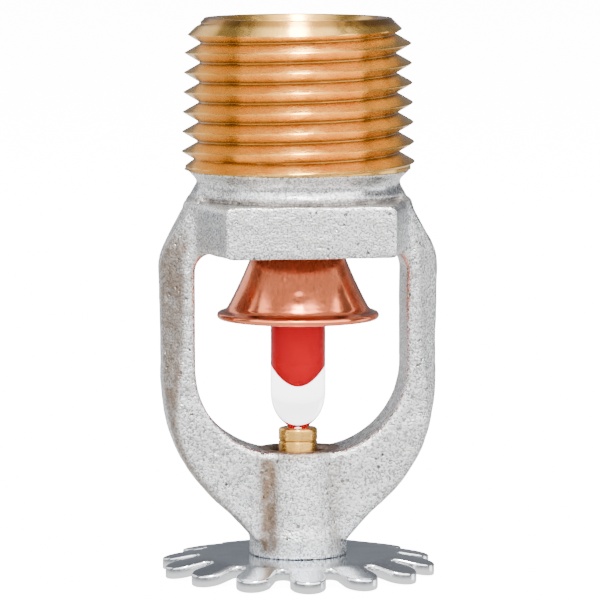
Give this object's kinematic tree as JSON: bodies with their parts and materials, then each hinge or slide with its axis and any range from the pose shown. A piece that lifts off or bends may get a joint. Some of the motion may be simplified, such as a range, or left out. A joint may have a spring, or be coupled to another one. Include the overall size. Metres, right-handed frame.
{
  "type": "fire sprinkler head",
  "caption": "Pendent fire sprinkler head: threaded inlet, open yoke frame, glass bulb that holds a copper cap shut, and a toothed deflector.",
  "frame": {"origin": "on the waterway's axis, at the level of the deflector's lowest edge", "axes": "+Z along the waterway from the deflector to the inlet, arms at +X and -X, wrench flats facing -Y (front) and +Y (back)"},
  "size_m": [0.026, 0.0256, 0.0516],
  "materials": {
    "plated_casting": "sand-cast brass with satin nickel-chrome plating, pipe thread left bare",
    "plated_sheet": "stamped brass sheet with bright plating",
    "turned_brass": "turned brass, bare",
    "machined_brass": "machined brass, bare",
    "copper": "pressed copper, satin",
    "stainless_steel": "stainless steel, machined",
    "nickel_alloy": "nickel alloy spring sheet",
    "ptfe": "PTFE film",
    "bulb_glass": "clear drawn glass",
    "red_liquid": "clear red liquid"
  },
  "bodies": {
    "frame": {"frame": "plated_casting", "deflector": "plated_sheet"},
    "bulb": {"glass_bulb": "bulb_glass", "bulb_liquid": "red_liquid"},
    "load_screw": {"load_screw": "turned_brass"},
    "valve": {"pip_cap": "copper", "cap_insert": "stainless_steel", "pip_cap_attachment": "machined_brass", "belleville_washer": "nickel_alloy", "seal_film_lower": "ptfe", "seal_film_upper": "ptfe"}
  },
  "joints": [
    {"name": "bulb_drop", "type": "slide", "parent": "frame", "child": "bulb", "axis": [0, 0, 1], "range_m": [-0.0028, 0]},
    {"name": "load_screw_turn", "type": "hinge", "parent": "bulb", "child": "load_screw", "pos_m": [0, 0, 0.006], "axis": [0, 0, 1], "range_deg": [-1260, 0]},
    {"name": "cap_drop", "type": "slide", "parent": "frame", "child": "valve", "axis": [0, 0, 1], "range_m": [-0.0028, 0]}
  ],
  "couplings": [
    {"joint": "load_screw_turn", "follows": "bulb_drop", "rad_per_m": 7854},
    {"joint": "cap_drop", "follows": "bulb_drop", "ratio": 1}
  ]
}
